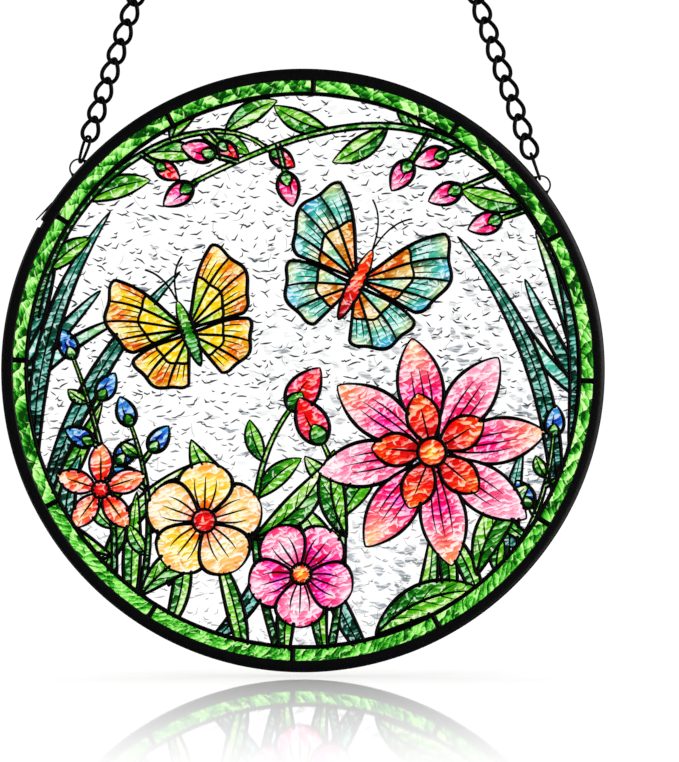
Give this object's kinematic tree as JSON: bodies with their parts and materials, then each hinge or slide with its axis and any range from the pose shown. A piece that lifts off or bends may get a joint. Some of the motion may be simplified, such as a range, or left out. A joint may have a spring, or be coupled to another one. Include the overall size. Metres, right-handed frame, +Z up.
{
  "type": "stained glass suncatcher",
  "caption": "Round stained glass panel with a black rim, a green border and a picture of flowers and butterflies, hung from a ring by two twisted-link chains.",
  "frame": {"origin": "the point inside the hanging ring where a hook bears", "axes": "+Z up, the front of the glass faces -Y, +X to the viewer's right"},
  "size_m": [0.1998, 0.0054, 0.3975],
  "materials": {
    "black_metal": "satin black paint",
    "black_lead": "black patinated solder, soft gloss",
    "green_glass": "crinkled green glass",
    "clear_glass": "clear hammered glass with transparent colours"
  },
  "bodies": {
    "root": {"rim": "black_metal", "leading": "black_lead", "picture_glass": "clear_glass", "border_glass_01": "green_glass", "border_glass_02": "green_glass", "border_glass_03": "green_glass", "border_glass_04": "green_glass", "border_glass_05": "green_glass", "border_glass_06": "green_glass", "border_glass_07": "green_glass", "border_glass_08": "green_glass", "border_glass_09": "green_glass", "border_glass_10": "green_glass", "border_glass_11": "green_glass", "border_glass_12": "green_glass", "left_loop": "black_metal", "right_loop": "black_metal", "left_end_link": "black_metal", "right_end_link": "black_metal", "left_chain": "black_metal", "right_chain": "black_metal", "hanging_ring": "black_metal"}
  },
  "joints": []
}
